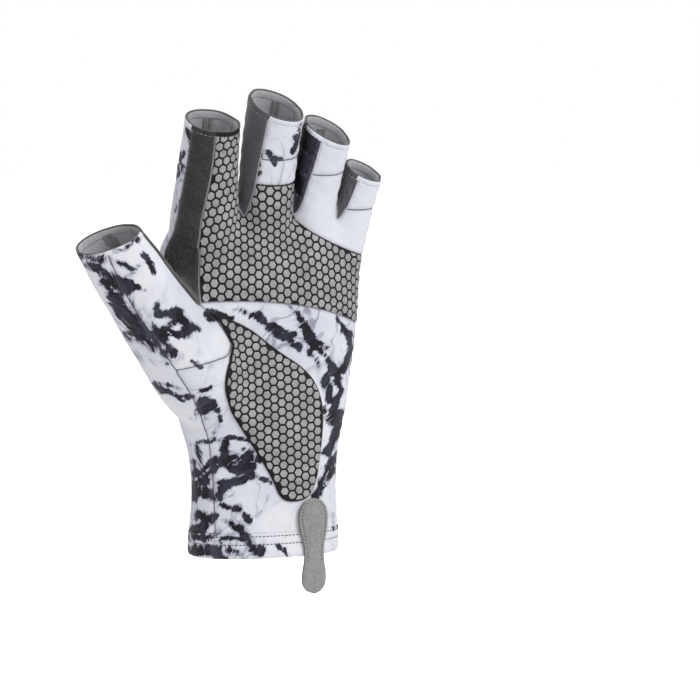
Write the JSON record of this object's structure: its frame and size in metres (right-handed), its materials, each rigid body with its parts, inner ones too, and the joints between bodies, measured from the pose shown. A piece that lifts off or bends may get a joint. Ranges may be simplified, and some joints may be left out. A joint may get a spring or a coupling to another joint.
{
  "type": "fishing glove",
  "caption": "Fingerless stretch-knit sun glove for the left hand, with hexagon grip patches on the palm and a pull tab at the cuff, held in a worn, half-closed shape.",
  "frame": {"origin": "centre of the wrist opening, where the hand goes in", "axes": "+Z from the wrist to the fingertips, -Y out of the palm, +Y out of the back of the hand, -X towards the thumb"},
  "size_m": [0.1471, 0.0536, 0.223],
  "materials": {
    "printed_knit": "near-white stretch knit printed with slate and navy marbling, slight sheen",
    "charcoal_knit": "charcoal heather stretch knit",
    "grey_knit": "mid-grey stretch knit",
    "navy_knit": "dark navy stretch knit with faint pale print",
    "grip_cloth": "black backing cloth with raised grey silicone hexagons",
    "rim_cloth": "grey knit edge",
    "tab_suede": "light grey matt synthetic suede"
  },
  "bodies": {
    "root": {"index_rim": "rim_cloth", "middle_rim": "rim_cloth", "ring_rim": "rim_cloth", "pinky_rim": "rim_cloth", "thumb_rim": "rim_cloth", "cuff_hem": "printed_knit", "fourchette_index_middle": "grey_knit", "fourchette_middle_ring": "navy_knit", "fourchette_ring_pinky": "grey_knit", "thumb_panel": "printed_knit", "index_gusset": "charcoal_knit", "thumb_gusset": "charcoal_knit", "index_tip_back": "printed_knit", "middle_tip_back": "printed_knit", "ring_tip_back": "printed_knit", "pinky_tip_back": "printed_knit", "middle_tip_front": "printed_knit", "middle_band": "printed_knit", "ring_tip_front": "printed_knit", "pinky_tip_front": "printed_knit", "palm_grip": "grip_cloth", "ring_pinky_front": "printed_knit", "palm_panel": "printed_knit", "back_panel": "printed_knit", "heel_grip": "grip_cloth", "pull_tab": "tab_suede"}
  },
  "joints": []
}
